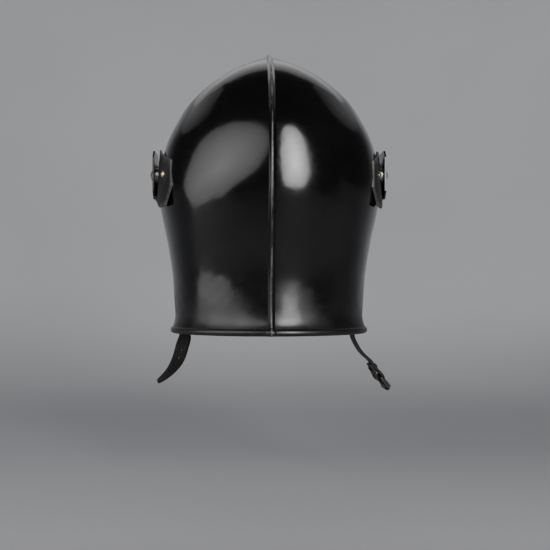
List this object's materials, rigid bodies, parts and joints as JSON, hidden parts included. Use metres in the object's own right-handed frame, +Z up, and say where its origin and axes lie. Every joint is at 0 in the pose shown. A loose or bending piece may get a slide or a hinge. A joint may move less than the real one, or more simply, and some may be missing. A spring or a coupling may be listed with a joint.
{
  "type": "visored knight helmet",
  "caption": "Steel knight's helmet with a keeled skull, rolled neck rim, visor on temple pivots, leather liner and a buckled chin strap.",
  "frame": {"origin": "centre of the neck opening, in the plane of the rolled rim's lowest line, where the wearer's neck or a stand's post comes in", "axes": "+Z up through the crown, -Y the way the face looks, +X the wearer's left"},
  "size_m": [0.2305, 0.2994, 0.3268],
  "materials": {
    "black_steel": "gloss",
    "dark_plate": "matte",
    "brass": "polished",
    "dark_rivet": "blackened",
    "plain_steel": "satin",
    "strap_leather": "satin",
    "liner_leather": "natural",
    "felt": "felt"
  },
  "bodies": {
    "skull": {"skull_left": "black_steel", "skull_right": "black_steel", "neck_roll": "black_steel", "neck_roll_wire": "plain_steel", "face_border": "dark_plate", "face_border_rivets": "brass", "pivot_plate_left": "dark_plate", "pivot_plate_right": "dark_plate", "pivot_plate_rivets": "dark_rivet", "pivot_bolt_left": "brass", "pivot_bolt_right": "brass", "pivot_spacer_left": "plain_steel", "pivot_spacer_right": "plain_steel", "pivot_washer_left": "plain_steel", "pivot_washer_right": "plain_steel", "pivot_nut_left": "plain_steel", "pivot_nut_right": "plain_steel", "liner_band": "liner_leather", "liner_tongues": "liner_leather", "liner_clips": "plain_steel", "liner_rivets": "plain_steel", "crown_pad": "felt", "strap_tab_left": "plain_steel", "strap_tab_right": "plain_steel", "strap_rivet_left": "plain_steel", "strap_rivet_right": "plain_steel"},
    "visor": {"visor_plate": "black_steel", "visor_arm_left": "dark_plate", "visor_arm_right": "dark_plate", "visor_arm_rivets": "brass", "lifting_peg": "brass"},
    "strap_left": {"strap_left": "strap_leather"},
    "strap_right": {"strap_right": "strap_leather", "strap_fold_rivet": "plain_steel"},
    "buckle": {"buckle_frame": "plain_steel"},
    "roller": {"buckle_roller": "plain_steel"},
    "prong": {"buckle_prong": "plain_steel"}
  },
  "joints": [
    {"name": "visor_lift", "type": "hinge", "parent": "skull", "child": "visor", "pos_m": [0, 0.028, 0.151], "axis": [-1, 0, 0], "range_deg": [0, 80]},
    {"name": "strap_left_swing", "type": "hinge", "parent": "skull", "child": "strap_left", "pos_m": [0.082, 0.03, 0.027], "axis": [1, 0, 0], "range_deg": [-12, 12]},
    {"name": "strap_right_swing", "type": "hinge", "parent": "skull", "child": "strap_right", "pos_m": [-0.082, 0.03, 0.027], "axis": [1, 0, 0], "range_deg": [-12, 12]},
    {"name": "buckle_hinge", "type": "hinge", "parent": "strap_right", "child": "buckle", "pos_m": [-0.105, 0.03, -0.0415], "axis": [0, 1, 0], "range_deg": [-30, 30]},
    {"name": "roller_spin", "type": "hinge", "parent": "buckle", "child": "roller", "pos_m": [-0.1113, 0.03, -0.051], "axis": [0, 1, 0], "continuous": true},
    {"name": "prong_swing", "type": "hinge", "parent": "buckle", "child": "prong", "pos_m": [-0.105, 0.03, -0.0415], "axis": [0, 1, 0], "range_deg": [0, 60]}
  ]
}
